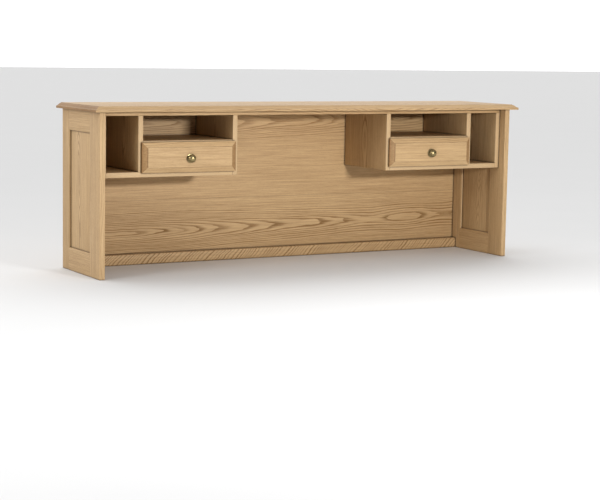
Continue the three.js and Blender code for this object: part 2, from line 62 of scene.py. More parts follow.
MM = 0.001
SIDES = ("left", "right")
BODY_OF = {
    node: body
    for body, nodes in frame["record"]["behaviour"]["bodies"].items()
    for node in nodes
}
SMOOTH_UNDER = math.radians(15)  # facets that meet at less than this are shaded as one curve
SHARP_OVER = math.radians(27)  # edges that turn by more than this are eased

# Which way the grain runs, as the rows along the grain, across the face and into the board.
LENGTHWISE_FLAT = Matrix(((1, 0, 0), (0, 1, 0), (0, 0, 1)))
LENGTHWISE_UPRIGHT = Matrix(((1, 0, 0), (0, 0, 1), (0, -1, 0)))
UPRIGHT = Matrix(((0, 0, 1), (0, 1, 0), (-1, 0, 0)))
FRONT_TO_BACK = Matrix(((0, 1, 0), (0, 0, 1), (1, 0, 0)))

# How a board was cut from its log, in metres. The pith is the middle of the log.
FLAT_SAWN = {"Pith Side": 0.0, "Pith Depth": 0.045, "Wander": 0.09, "Ring Width": 0.0042}
RIFT_SAWN = {"Pith Side": 0.12, "Pith Depth": 0.06, "Wander": 0.04, "Ring Width": 0.0034}
WILD_SAWN = {
    "Pith Side": -1.6, "Pith Depth": 0.05, "Wander": 0.12, "Ring Width": 0.014, "Slope": 0.9,
    "Figure": 0.95, "Calm": 1.0,
}
VENEER = {
    "Wander": 0.008, "Ring Width": 0.005, "Slope": 0.015, "Figure": 0.9, "Calm": 0.3, "Pores": 0.5,
}
TOP_STAVE = 131 * MM  # width of the boards that the top is glued up from
SUB_TOP_STAVE = 110 * MM

# The back's two leaves of veneer. Heights are over the desk.
SEAM_HEIGHT = 250 * MM
LOWER_HEART = 131 * MM
UPPER_HEART = 556 * MM
UPPER_FIGURE = 0.6  # the upper leaf's lines are fainter than the lower one's
PITH_DEEPEST = 100 * MM
# How deep the pith lies under the leaves, as shares of the width and of the deepest place.
PITH_UNDER_BACK = (
    (0.0, 0.22), (0.25, 0.28), (0.37, 0.43), (0.49, 0.53), (0.59, 0.58), (0.75, 0.68),
    (0.85, 0.64), (0.95, 0.69), (1.0, 0.66),
)
GLUE_LINE = (0.4 * MM, 1.6 * MM)  # from the seam, where its dark line starts to fade and is gone
GLUE_SHADE = 0.75

# How far the staves of a glued-up board are apart in their logs, in metres or as a share.
STAVE_SLIDE = 6.0
STAVE_SHIFT = 80 * MM
STAVE_SINK = 0.5

# How uneven the years of growth are, in years, and where the wood far from the pith turns calm.
WAVE_YEARS = 1.7
RIPPLE_YEARS = 0.45
UNEVEN_YEARS = 0.35
UNEVEN_RATE = 0.83
WEAKEST_YEAR = 0.3
CALM_FROM, CALM_BY = 50 * MM, 130 * MM

# Features in a metre along, across and into the board.
WAVES = (3.5, 14, 14)
RIPPLES = (14, 110, 110)
PORES = (120, 1500, 1500)
FIBRES = (30, 800, 800)
STREAKS = (6, 190, 190)
TONES = (1.1, 7, 7)

SOOT = (0.45, 0.4, 0.36, 1)  # how the dark wood is darkened in its pores
END_GRAIN = (0.58, 0.49, 0.39, 1.0)  # how much darker wood cut across the grain takes the finish
PAINTED_SHADE_REACH = 7 * MM  # painted shade darkens the wood this far round an inner corner
PAINTED_SHADE_DARKEST = 0.22  # and the painted shade darkens it to this share at most

WOOD_SHEEN = 0.25
WOOD_RELIEF = 0.12 * MM
BRASS_RELIEF = 0.05 * MM
ZINC_RELIEF = 0.03 * MM
BRASS_PATCHES = 120.0  # in a metre
ZINC_PATCHES = 90.0
DULL_ZINC = 0.72  # how bright the dull patches are beside the bright ones

# Sizes of the moulded and turned work that nothing else sets.
OGEE_SWELL = 0.8 * MM
OGEE_STEPS = 12
QUIRK_WIDTH = 1.0 * MM
BORE_RADIUS = 2.4 * MM  # of the hole for the screw in the knob and its rose
BORE_DEPTH = 9 * MM  # in the knob
HEAD_HEIGHT = 2.5 * MM
KNOB_SCREW_RADIUS = 2.0 * MM
FRONT_SCREW_RADIUS = 1.8 * MM
THREAD_PITCH = 1.3 * MM
THREAD_DEPTH = 0.35 * MM
PLAIN_SHANK = 2.0 * MM
BARE_TIP = 2.5 * MM

# Stage, in metres and watts.
CAMERA_PLACE = (-3.1875, -5.6678, 0.8796)
CAMERA_HEADING = math.radians(29.52)  # towards +X from looking along +Y
CAMERA_DIP = math.radians(7.28)
CAMERA_ROLL = math.radians(1.0)
CAMERA_LENS = 97.965  # millimetres
VIEW_REACH = 200
FRONT_GLOW = 0.12
BACK_GLOW = 1.45
OVERHEAD_GLOW = 0.7
FLOOR_HALF = 40
FLOOR_TONE = 0.68
FLOOR_MOTTLE = 0.98
# Name, place, the point that it aims at, width and height, power.
LIGHTS = (
    ("key", (0.1, -3.4, 0.97), (0, 0, 0.4), (0.5, 0.16), 76),
    ("end_light", (-4.6, -1.4, 2.0), (-0.9, 0, 0.3), (1.5, 1.5), 60),
)


def shade(red, green, blue):
    """The linear colour of a display colour given in 0 to 255."""
    return (*Color((red / 255, green / 255, blue / 255)).from_srgb_to_scene_linear(), 1.0)


# ---- Sizes and colours that a user may change ----------------------------------------------------


def length(name, description, default):
    """A size that the user may set."""
    return bpy.props.FloatProperty(
        name=name, description=description, default=default, min=0, precision=5, unit="LENGTH"
    )


def colour(name, description, *display):
    """A colour that the user may set, its default given in 0 to 255."""
    return bpy.props.FloatVectorProperty(
        name=name, description=description, size=4, default=shade(*display), subtype="COLOR",
        min=0, max=1,
    )


class HutchSizes(bpy.types.PropertyGroup):
    """Sizes of the finishing work, which the maker's hand adds to the cut boards."""

    arris: length("Arris", "Width of the rounding along the edges of the boards", 0.9 * MM)
    box_arris: length("Box arris", "Width of the rounding along the drawer box's edges", 0.5 * MM)
    metal_arris: length("Metal arris", "Width of the rounding along the edges of the slides", 0.25 * MM)
    edging: length("Edging", "Depth of the solid strip on the front of each unit board", 6 * MM)
    lip: length("Lip", "Height of the square lip under the moulding of the top", 8.5 * MM)
    moulding: length("Moulding", "Width of the moulding round the top", 20 * MM)
    quirk: length("Quirk", "Small step where the moulding meets the flat of the top", 1.5 * MM)


class HutchColours(bpy.types.PropertyGroup):
    """Colours of the woods and metals."""

    oak_light: colour("Oak, light", "Latewood of the solid oak", 203, 171, 127)
    oak_dark: colour("Oak, dark", "Earlywood of the solid oak", 138, 105, 66)
    veneer_light: colour("Veneer, light", "Light wood of the plywood back", 207, 174, 129)
    veneer_dark: colour("Veneer, dark", "Dark lines of the plywood back", 134, 100, 60)
    edging_light: colour("Edging, light", "Light wood of the front edging", 188, 160, 122)
    maple_light: colour("Maple, light", "Light wood of the drawer boxes", 226, 203, 164)
    maple_dark: colour("Maple, dark", "Dark lines of the drawer boxes", 194, 163, 121)
    brass: colour("Brass", "Worn parts of the antique brass", 138, 124, 86)
    patina: colour("Patina", "Darkened parts of the antique brass", 54, 48, 31)
    zinc: colour("Zinc", "Bright zinc on the slides and screws", 190, 193, 197)


# ---- Nodes ---------------------------------------------------------------------------------------


def feed(tree, socket, value):
    """Sets an input, or joins it to another node's output."""
    if isinstance(value, bpy.types.NodeSocket):
        tree.links.new(value, socket)
    else:
        socket.default_value = value


def add_node(tree, kind, values, **settings):
    """A new node with its settings, its inputs set or joined by name or number."""
    node = tree.nodes.new(kind)
    for name, value in settings.items():
        setattr(node, name, value)
    for key, value in values.items():
        feed(tree, node.inputs[key], value)
    return node


def maths(tree, operation, *values):
    """The result of a Math node. MULTIPLY_ADD takes value, factor and addend."""
    return add_node(tree, "ShaderNodeMath", dict(enumerate(values)), operation=operation).outputs[0]


def ramp(tree, value, low, high, to_low=0.0, to_high=1.0):
    """A smooth step of value from low to high."""
    values = {"Value": value, "From Min": low, "From Max": high, "To Min": to_low, "To Max": to_high}
    node = add_node(tree, "ShaderNodeMapRange", values, interpolation_type="SMOOTHSTEP")
    return node.outputs["Result"]


def blend(tree, share, first, second):
    """A colour share of the way from the first to the second."""
    return add_node(tree, "ShaderNodeMix", {0: share, 6: first, 7: second}, data_type="RGBA").outputs[2]


def multiplied(tree, first, second):
    """The product of two colours, or of a colour and a value."""
    values = {0: 1.0, 6: first, 7: second}
    return add_node(tree, "ShaderNodeMix", values, data_type="RGBA", blend_type="MULTIPLY").outputs[2]


def noise(tree, vector, stretch, seed, detail=1.0):
    """Noise stretched so that it has that many features in a metre each way."""
    place = add_node(
        tree, "ShaderNodeVectorMath", {0: vector, 1: stretch, 2: seed}, operation="MULTIPLY_ADD"
    )
    return add_node(
        tree, "ShaderNodeTexNoise", {"Vector": place.outputs[0], "Scale": 1.0, "Detail": detail}
    ).outputs[0]


def chance(tree, number):
    """A steady random colour for each whole number."""
    node = add_node(tree, "ShaderNodeTexWhiteNoise", {"W": number}, noise_dimensions="1D")
    return add_node(tree, "ShaderNodeSeparateColor", {0: node.outputs["Color"]}).outputs


def new_group(name, inputs, outputs):
    """An empty node group with its sockets, its inputs and its outputs."""
    tree = bpy.data.node_groups.new(name, "ShaderNodeTree")
    for label, kind, default in inputs:
        socket = tree.interface.new_socket(label, in_out="INPUT", socket_type="NodeSocket" + kind)
        socket.default_value = default
    for label, kind in outputs:
        tree.interface.new_socket(label, in_out="OUTPUT", socket_type="NodeSocket" + kind)
    return tree, tree.nodes.new("NodeGroupInput").outputs, tree.nodes.new("NodeGroupOutput").inputs


def wood_figure():
    """Wood cut from round a wandering pith, in boards glued edge to edge.

    X is along the grain, Y across the face and Z into the board, in metres."""
    tree, given, result = new_group(
        "wood_figure",
        [
            ("Vector", "Vector", (0, 0, 0)),
            ("Pith Side", "Float", 0.0),
            ("Pith Depth", "Float", 0.04),
            ("Wander", "Float", 0.03),
            ("Ring Width", "Float", 0.003),
            ("Stave Width", "Float", 10.0),
            ("Slope", "Float", 0.0),
            ("Figure", "Float", 0.6),
            ("Calm", "Float", 0.6),
            ("Pores", "Float", 0.6),
            ("Light", "Color", (1, 1, 1, 1)),
            ("Dark", "Color", (0.5, 0.5, 0.5, 1)),
            ("Seed", "Float", 0.0),
        ],
        [("Color", "Color"), ("Roughness", "Float"), ("Height", "Float")],
    )
    place, seed = given["Vector"], given["Seed"]
    along, across, deep = add_node(tree, "ShaderNodeSeparateXYZ", {0: place}).outputs

    # Each stave but the middle one has its own place along and under the log.
    stave = maths(tree, "ROUND", maths(tree, "DIVIDE", across, given["Stave Width"]))
    apart = maths(tree, "MINIMUM", maths(tree, "ABSOLUTE", stave), 1.0)
    picks = list(chance(tree, maths(tree, "ADD", stave, seed)))[:3]
    slid, sunk, shifted = [
        maths(tree, "MULTIPLY", maths(tree, "SUBTRACT", pick, 0.5), apart) for pick in picks
    ]
    along = maths(tree, "MULTIPLY_ADD", slid, STAVE_SLIDE, along)
    back_by = maths(tree, "MULTIPLY", given["Stave Width"], -1.0)
    across = maths(tree, "MULTIPLY_ADD", stave, back_by, across)
    inside = add_node(tree, "ShaderNodeCombineXYZ", {0: along, 1: across, 2: deep}).outputs[0]

    def wandering(waves, offset):
        run = maths(tree, "MULTIPLY_ADD", along, waves, maths(tree, "ADD", seed, offset))
        wave = add_node(tree, "ShaderNodeTexNoise", {"W": run, "Scale": 1.0}, noise_dimensions="1D")
        return maths(tree, "MULTIPLY", maths(tree, "SUBTRACT", wave.outputs[0], 0.5), given["Wander"])

    sunk_by = maths(tree, "MULTIPLY_ADD", sunk, STAVE_SINK, 1.0)
    depth = maths(tree, "MULTIPLY_ADD", given["Pith Depth"], sunk_by, wandering(1.3, 3.0))
    aside = maths(tree, "MULTIPLY_ADD", shifted, STAVE_SHIFT, given["Pith Side"])
    aside = maths(tree, "ADD", aside, wandering(0.9, 17.0))
    aside = maths(tree, "MULTIPLY_ADD", along, given["Slope"], aside)
    sideways = maths(tree, "POWER", maths(tree, "SUBTRACT", across, aside), 2.0)
    downwards = maths(tree, "POWER", maths(tree, "SUBTRACT", deep, depth), 2.0)
    from_pith = maths(tree, "SQRT", maths(tree, "ADD", sideways, downwards))

    # Years of growth from the pith, made uneven. The open-pored wood is the start of each year.
    ring = maths(tree, "DIVIDE", from_pith, given["Ring Width"])
    ring = maths(tree, "MULTIPLY_ADD", noise(tree, inside, WAVES, seed), WAVE_YEARS, ring)
    ring = maths(tree, "MULTIPLY_ADD", noise(tree, inside, RIPPLES, seed), RIPPLE_YEARS, ring)
    uneven = maths(tree, "SINE", maths(tree, "MULTIPLY_ADD", ring, UNEVEN_RATE, seed))
    ring = maths(tree, "MULTIPLY_ADD", uneven, UNEVEN_YEARS, ring)
    phase = maths(tree, "FRACT", ring)
    starts, fades = ramp(tree, phase, 0.0, 0.08), ramp(tree, phase, 0.12, 0.6, 1.0, 0.0)
    early = maths(tree, "MULTIPLY", starts, fades)
    strong = chance(tree, maths(tree, "ADD", maths(tree, "FLOOR", ring), seed))[0]
    strength = maths(tree, "MULTIPLY_ADD", strong, 1 - WEAKEST_YEAR, WEAKEST_YEAR)
    band = maths(tree, "MULTIPLY", early, strength)
    calm = ramp(tree, from_pith, CALM_FROM, CALM_BY, 1.0, given["Calm"])
    band = maths(tree, "MULTIPLY", band, calm)

    pore = ramp(tree, noise(tree, inside, PORES, seed), 0.56, 0.66)
    pore = maths(tree, "MULTIPLY", pore, maths(tree, "MULTIPLY_ADD", early, 0.75, 0.25))
    pore = maths(tree, "MULTIPLY", pore, given["Pores"])
    fibre = noise(tree, inside, FIBRES, seed, 2.0)
    streak = noise(tree, inside, STREAKS, seed, 2.0)
    tone = noise(tree, inside, TONES, seed, 2.0)

    # The noises add about 0.9, so clear wood ends up a quarter of the way to dark.
    tint = maths(tree, "MULTIPLY_ADD", band, given["Figure"], -0.65)
    for part, amount in ((fibre, 0.5), (streak, 0.8), (tone, 0.5), (slid, 0.25)):
        tint = maths(tree, "MULTIPLY_ADD", part, amount, tint)
    share = add_node(tree, "ShaderNodeClamp", {0: tint}).outputs[0]
    plain = blend(tree, share, given["Light"], given["Dark"])
    sooty = multiplied(tree, given["Dark"], SOOT)
    feed(tree, result["Color"], blend(tree, maths(tree, "MULTIPLY", pore, 0.7), plain, sooty))
    rough = maths(tree, "MULTIPLY_ADD", fibre, 0.1, 0.5)
    feed(tree, result["Roughness"], maths(tree, "MULTIPLY_ADD", pore, 0.2, rough))
    raised = maths(tree, "MULTIPLY_ADD", fibre, 0.2, 0.8)
    raised = maths(tree, "MULTIPLY_ADD", band, -0.3, raised)
    feed(tree, result["Height"], maths(tree, "MULTIPLY_ADD", pore, -0.6, raised))
    return tree


def metal_wear():
    """Patches of tarnish with fine scratches: how worn a place is, its roughness and its height."""
    tree, given, result = new_group(
        "metal_wear",
        [("Vector", "Vector", (0, 0, 0)), ("Patches", "Float", 200.0), ("Seed", "Float", 0.0)],
        [("Worn", "Float"), ("Roughness", "Float"), ("Height", "Float")],
    )
    place, seed = given["Vector"], given["Seed"]
    scaled = add_node(
        tree, "ShaderNodeVectorMath", {0: place, "Scale": given["Patches"]}, operation="SCALE"
    ).outputs[0]
    patch = noise(tree, scaled, (1, 1, 1), seed, 3.0)
    scratch = noise(tree, scaled, (2, 30, 9), seed, 2.0)
    edge = add_node(tree, "ShaderNodeNewGeometry", {}).outputs["Pointiness"]
    worn = maths(tree, "ADD", ramp(tree, patch, 0.4, 0.7), ramp(tree, edge, 0.5, 0.6))
    feed(tree, result["Worn"], add_node(tree, "ShaderNodeClamp", {0: worn}).outputs[0])
    feed(tree, result["Roughness"], maths(tree, "MULTIPLY_ADD", scratch, 0.25, 0.2))
    feed(tree, result["Height"], maths(tree, "ADD", patch, maths(tree, "MULTIPLY", scratch, 0.5)))
    return tree


def group_called(maker):
    """The node group that maker makes, made once."""
    return bpy.data.node_groups.get(maker.__name__) or maker()


# ---- Materials -----------------------------------------------------------------------------------


def new_material(name):
    """A material with its tree and its Principled shader."""
    material = bpy.data.materials.new(name)
    material.use_nodes = True
    tree = material.node_tree
    tree.nodes.clear()
    shader = tree.nodes.new("ShaderNodeBsdfPrincipled")
    output = tree.nodes.new("ShaderNodeOutputMaterial")
    tree.links.new(shader.outputs[0], output.inputs["Surface"])
    return material, tree, shader


def mapped(tree, turn, centre):
    """Object coordinates, turned to the grain and centred on the piece."""
    here = tree.nodes.new("ShaderNodeTexCoord").outputs["Object"]
    values = {"Vector": here, "Rotation": turn.to_euler(), "Location": -(turn @ centre)}
    return add_node(tree, "ShaderNodeMapping", values).outputs[0]


def rise(tree, shader, height, distance, strength):
    """Gives the surface a fine relief."""
    values = {"Height": height, "Distance": distance, "Strength": strength}
    bump = add_node(tree, "ShaderNodeBump", values)
    tree.links.new(bump.outputs[0], shader.inputs["Normal"])


def wood(name, node, turn, light, dark, **cut):
    """A satin wood whose figure is the board's own, darker on end grain and with painted shade in inner
    corners.

    `cut` sets the inputs of the figure. Gives the material, its tree, its shader and its figure."""
    material, tree, shader = new_material(name)
    low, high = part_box(node)
    picks = random.Random(name)
    place = mapped(tree, turn, (low + high) / 2)
    figure = add_node(tree, "ShaderNodeGroup", {}, node_tree=group_called(wood_figure))
    values = {"Vector": place, "Light": light, "Dark": dark, "Seed": picks.uniform(1, 90), **cut}
    values["Pith Side"] = values.get("Pith Side", 0.0) + picks.uniform(-0.02, 0.02)
    for label, value in values.items():
        feed(tree, figure.inputs[label], value)
    facing = tree.nodes.new("ShaderNodeTexCoord").outputs["Normal"]
    along = add_node(
        tree, "ShaderNodeVectorMath", {0: facing, 1: tuple(turn.row[0])}, operation="DOT_PRODUCT"
    ).outputs["Value"]
    across_grain = ramp(tree, maths(tree, "ABSOLUTE", along), 0.1, 0.5)
    end_grain = blend(tree, across_grain, (1, 1, 1, 1), END_GRAIN)
    # Painted shade: ambient occlusion darkens the colour in inner corners and recesses.
    corners = {"Distance": PAINTED_SHADE_REACH}
    hollow = add_node(tree, "ShaderNodeAmbientOcclusion", corners, samples=6).outputs["AO"]
    painted_corner_shade = ramp(tree, hollow, 0.45, 1.0, PAINTED_SHADE_DARKEST, 1.0)
    end_grain_and_painted_shade = multiplied(tree, multiplied(tree, figure.outputs["Color"], end_grain), painted_corner_shade)
    tree.links.new(end_grain_and_painted_shade, shader.inputs["Base Color"])
    tree.links.new(figure.outputs["Roughness"], shader.inputs["Roughness"])
    shader.inputs["Specular IOR Level"].default_value = WOOD_SHEEN
    rise(tree, shader, figure.outputs["Height"], WOOD_RELIEF, 0.6)
    return material, tree, shader, figure


def oak(name, node, turn, **cut):
    """The solid oak of one board."""
    colours = bpy.context.scene.hutch_colours
    return wood(name, node, turn, tuple(colours.oak_light), tuple(colours.oak_dark), **cut)[0]


def edging(name, node, turn):
    """The plain oak strip on the front of a unit board."""
    colours = bpy.context.scene.hutch_colours
    light, dark = tuple(colours.edging_light), tuple(colours.oak_light)
    return wood(name, node, turn, light, dark, **RIFT_SAWN)[0]


def maple(name, node, turn):
    """The pale, close-grained maple of one drawer board."""
    colours = bpy.context.scene.hutch_colours
    light, dark = tuple(colours.maple_light), tuple(colours.maple_dark)
    return wood(name, node, turn, light, dark, **{**RIFT_SAWN, "Pores": 0.15, "Figure": 0.35})[0]


def back_veneer(name, node):
    """Two leaves of flat-cut veneer that meet at a level seam."""
    colours = bpy.context.scene.hutch_colours
    light, dark = tuple(colours.veneer_light), tuple(colours.veneer_dark)
    material, tree, shader, figure = wood(name, node, LENGTHWISE_UPRIGHT, light, dark, **VENEER)
    low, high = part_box(node)
    middle = (low.z + high.z) / 2
    place = figure.inputs["Vector"].links[0].from_socket
    along, across, _ = add_node(tree, "ShaderNodeSeparateXYZ", {0: place}).outputs
    share = maths(tree, "MULTIPLY_ADD", along, 1 / (high.x - low.x), 0.5)
    curve = add_node(tree, "ShaderNodeFloatCurve", {"Value": share})
    line = curve.mapping.curves[0]
    line.points[0].location, line.points[1].location = PITH_UNDER_BACK[0], PITH_UNDER_BACK[-1]
    for point in PITH_UNDER_BACK[1:-1]:
        line.points.new(*point)
    curve.mapping.update()
    depth = maths(tree, "MULTIPLY", curve.outputs[0], PITH_DEEPEST)
    upper = maths(tree, "GREATER_THAN", across, SEAM_HEIGHT - middle)
    heart = maths(tree, "MULTIPLY_ADD", upper, UPPER_HEART - LOWER_HEART, LOWER_HEART - middle)
    feed(tree, figure.inputs["Pith Side"], heart)
    feed(tree, figure.inputs["Pith Depth"], depth)
    fainter = UPPER_FIGURE - VENEER["Figure"]
    feed(tree, figure.inputs["Figure"], maths(tree, "MULTIPLY_ADD", upper, fainter, VENEER["Figure"]))
    off_seam = maths(tree, "ABSOLUTE", maths(tree, "SUBTRACT", across, SEAM_HEIGHT - middle))
    glue = ramp(tree, off_seam, *GLUE_LINE, GLUE_SHADE, 1.0)
    shown = shader.inputs["Base Color"].links[0].from_socket
    feed(tree, shader.inputs["Base Color"], multiplied(tree, shown, glue))
    return material


def antique_brass():
    """Brass darkened by age, bright where hands and cloths have rubbed it."""
    colours = bpy.context.scene.hutch_colours
    material, tree, shader = new_material("antique_brass")
    place = tree.nodes.new("ShaderNodeTexCoord").outputs["Object"]
    wear = add_node(tree, "ShaderNodeGroup", {}, node_tree=group_called(metal_wear))
    feed(tree, wear.inputs["Vector"], place)
    feed(tree, wear.inputs["Patches"], BRASS_PATCHES)
    tint = blend(tree, wear.outputs["Worn"], tuple(colours.patina), tuple(colours.brass))
    feed(tree, shader.inputs["Base Color"], tint)
    feed(tree, shader.inputs["Roughness"], wear.outputs["Roughness"])
    shader.inputs["Metallic"].default_value = 0.9
    rise(tree, shader, wear.outputs["Height"], BRASS_RELIEF, 0.3)
    return material


def zinc_steel():
    """Bright zinc plate with a faint spangle and fine scratches."""
    colours = bpy.context.scene.hutch_colours
    material, tree, shader = new_material("zinc_steel")
    place = tree.nodes.new("ShaderNodeTexCoord").outputs["Object"]
    wear = add_node(tree, "ShaderNodeGroup", {}, node_tree=group_called(metal_wear))
    feed(tree, wear.inputs["Vector"], place)
    feed(tree, wear.inputs["Patches"], ZINC_PATCHES)
    bright = tuple(colours.zinc)
    dull = tuple(DULL_ZINC * part for part in bright[:3]) + (1.0,)
    feed(tree, shader.inputs["Base Color"], blend(tree, wear.outputs["Worn"], dull, bright))
    feed(tree, shader.inputs["Roughness"], wear.outputs["Roughness"])
    shader.inputs["Metallic"].default_value = 1.0
    rise(tree, shader, wear.outputs["Height"], ZINC_RELIEF, 0.2)
    return material


def shared(maker):
    """The material that maker makes, made once."""
    return bpy.data.materials.get(maker.__name__) or maker()


# ---- Shaping pieces ------------------------------------------------------------------------------


def board(low, high):
    """A bmesh box between two corners."""
    shape = bmesh.new()
    bmesh.ops.create_cube(shape, size=1.0)
    bmesh.ops.scale(shape, vec=high - low, verts=shape.verts)
    bmesh.ops.translate(shape, vec=(low + high) / 2, verts=shape.verts)
    return shape


def cut_shape(node):
    """A bmesh of a CAD node as it was cut, its loose triangles joined into whole faces."""
    shape = bmesh.new()
    shape.from_mesh(frame["nodes"][node].data)
    bmesh.ops.remove_doubles(shape, verts=shape.verts, dist=0.002 * MM)
    bmesh.ops.dissolve_limit(
        shape, angle_limit=math.radians(0.5), verts=shape.verts, edges=shape.edges
    )
    return shape


def ease(shape, width, segments=3):
    """Rounds every sharp outer edge."""
    sharp = [e for e in shape.edges if e.is_manifold and e.calc_face_angle_signed() > SHARP_OVER]
    bmesh.ops.bevel(
        shape, geom=sharp, offset=width, offset_type="OFFSET", segments=segments, profile=0.5,
        affect="EDGES", clamp_overlap=True, material=-1,
    )


def turned(profile, centre, steps):
    """A bmesh turned about an axis that points to the front. Points are (radius, distance)."""
    shape = bmesh.new()
    corners = [
        shape.verts.new((centre.x + radius, centre.y - reach, centre.z)) for radius, reach in profile
    ]
    for first, second in zip(corners, corners[1:]):
        shape.edges.new((first, second))
    bmesh.ops.spin(
        shape, geom=shape.verts[:] + shape.edges[:], cent=centre, axis=(0, 1, 0),
        angle=math.tau, steps=steps, use_merge=True,
    )
    bmesh.ops.remove_doubles(shape, verts=shape.verts, dist=0.005 * MM)
    return shape


def arc(centre, radius, start, end, steps):
    """Points of (radius, distance) along an arc between two angles in degrees."""
    turns = [math.radians(start + (end - start) * i / steps) for i in range(steps + 1)]
    return [(centre[0] + radius * math.cos(t), centre[1] + radius * math.sin(t)) for t in turns]


def finish_piece(shape, node, kind, materials):
    """Makes the object, puts it on the node's body and lets it stand for the node."""
    bmesh.ops.recalc_face_normals(shape, faces=shape.faces)
    name = f"{node}_{kind}"
    mesh = bpy.data.meshes.new(name)
    shape.to_mesh(mesh)
    shape.free()
    mesh.shade_smooth()
    mesh.set_sharp_from_angle(angle=SMOOTH_UNDER)
    for material in materials:
        mesh.materials.append(material)
    piece = bpy.data.objects.new(name, mesh)
    bpy.context.scene.collection.objects.link(piece)
    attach(piece, BODY_OF[node])
    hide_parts(node)


def moulded_top(low, high, sizes):
    """The top board, its moulding run round the front and both ends and mitred at the corners."""
    thick = high.z - low.z
    outline = [(sizes.arris + u, sizes.arris + v) for u, v in arc((0, 0), sizes.arris, 270, 180, 4)]
    lip_edge = arc((0, 0), sizes.arris, 180, 90, 4)
    lip = [(sizes.arris + u, sizes.lip - sizes.arris + v) for u, v in lip_edge]
    shoulder = thick - sizes.quirk
    for step in range(1, OGEE_STEPS + 1):
        share = step / OGEE_STEPS
        swell = OGEE_SWELL * math.sin(-math.tau * share)
        inset = sizes.arris + (sizes.moulding - QUIRK_WIDTH - sizes.arris) * share
        lip.append((inset, sizes.lip + (shoulder - sizes.lip) * share + swell))
    crown = [(sizes.moulding - QUIRK_WIDTH / 2, thick - QUIRK_WIDTH / 2), (sizes.moulding, thick)]
    shape = bmesh.new()
    inset, level = outline[0]
    corners = [
        (low.x + inset, low.y + inset),
        (high.x - inset, low.y + inset),
        (high.x - inset, high.y),
        (low.x + inset, high.y),
    ]
    face = shape.faces.new([shape.verts.new((x, y, low.z + level)) for x, y in corners])
    half_width, depth = (high.x - low.x) / 2, high.y - low.y
    back_middle = Matrix.Translation(-Vector(((low.x + high.x) / 2, high.y, 0)))
    for to_inset, to_level in outline[1:] + lip + crown:
        made = bmesh.ops.extrude_face_region(shape, geom=[face])["geom"]
        face = next(part for part in made if isinstance(part, bmesh.types.BMFace))
        narrower = (half_width - to_inset) / (half_width - inset)
        shallower = (depth - to_inset) / (depth - inset)
        squeeze = (narrower, shallower, 1)
        bmesh.ops.scale(shape, vec=squeeze, verts=face.verts, space=back_middle)
        bmesh.ops.translate(shape, vec=(0, 0, to_level - level), verts=face.verts)
        inset, level = to_inset, to_level
    return shape


def knob_profile(radius, reach, seat):
    """A mushroom knob with a spreading foot, a waist, a beaded rim and a low crown.

    Its foot stands at `seat` and its crown at `reach`."""
    waist, rim = radius * 0.42, reach * 0.60
    foot_radius, foot_edge = waist + 2.4 * MM, 0.5 * MM
    neck_curve, bead_radius = 3.4 * MM, 1.3 * MM
    dome_radius, dome_foot = radius - 1.6 * MM, rim + 1.6 * MM
    bore = [(0, seat + BORE_DEPTH), (BORE_RADIUS, seat + BORE_DEPTH), (BORE_RADIUS, seat)]
    foot = [(foot_radius, seat), *arc((foot_radius, seat + foot_edge), foot_edge, 270, 450, 6)]
    neck = arc((waist + neck_curve, rim - 4.4 * MM), neck_curve, 200, 115, 8)
    under = arc((radius - 5 * MM, rim - 1.2 * MM), 1.0 * MM, 240, 270, 3)
    bead = arc((radius - bead_radius, rim + 0.1 * MM), bead_radius, 270, 400, 10)
    dome = [
        (dome_radius * math.cos(turn), dome_foot + (reach - dome_foot) * math.sin(turn))
        for turn in (math.pi / 2 * step / 14 for step in range(1, 14))
    ]
    return [*bore, *foot, *neck, *under, *bead, *dome, (0, reach)]


def rose_profile(radius, thick):
    """A round plate with a rolled edge, a shallow cove and a raised middle."""
    edge_radius = 0.9 * MM
    edge = arc((radius - edge_radius, edge_radius), edge_radius, 270, 450, 8)
    cove = arc((radius - 4.2 * MM, thick + 0.6 * MM), 1.6 * MM, 320, 230, 8)
    middle = [(radius - 6.4 * MM, thick), (BORE_RADIUS, thick), (BORE_RADIUS, 0)]
    return [(BORE_RADIUS, 0), *edge, *cove, *middle]


def screw_profile(radius, reach, head_radius):
    """A screw with a pan head and threads, from its head to its tip. Distances run to the front."""
    threads = int((reach - BARE_TIP - radius) / THREAD_PITCH)
    flat = 0.55  # share of the head's radius before it rounds over
    head = [(0, -HEAD_HEIGHT), (head_radius * flat, -HEAD_HEIGHT)]
    head += [
        (
            head_radius * (flat + (1 - flat) * math.sin(turn)),
            -HEAD_HEIGHT * (0.3 + 0.7 * math.cos(turn)),
        )
        for turn in (math.pi / 2 * step / 5 for step in range(1, 6))
    ]
    shank = [(head_radius, 0), (radius, 0), (radius, PLAIN_SHANK)]
    for thread in range(threads):
        start = PLAIN_SHANK + thread * THREAD_PITCH
        root = (radius - THREAD_DEPTH, start + THREAD_PITCH * 0.35)
        shank += [root, (radius, start + THREAD_PITCH)]
    return [*head, *shank, (0, reach)]


# ---- The pieces ----------------------------------------------------------------------------------


def eased_board(node, kind, materials, width, segments=3):
    """A plain board over the node's box, with rounded edges."""
    shape = board(*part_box(node))
    ease(shape, width, segments)
    finish_piece(shape, node, kind, materials)


def eased_cut(node, kind, materials, width, segments=2):
    """The node's own cut shape, with rounded edges."""
    shape = cut_shape(node)
    ease(shape, width, segments)
    finish_piece(shape, node, kind, materials)


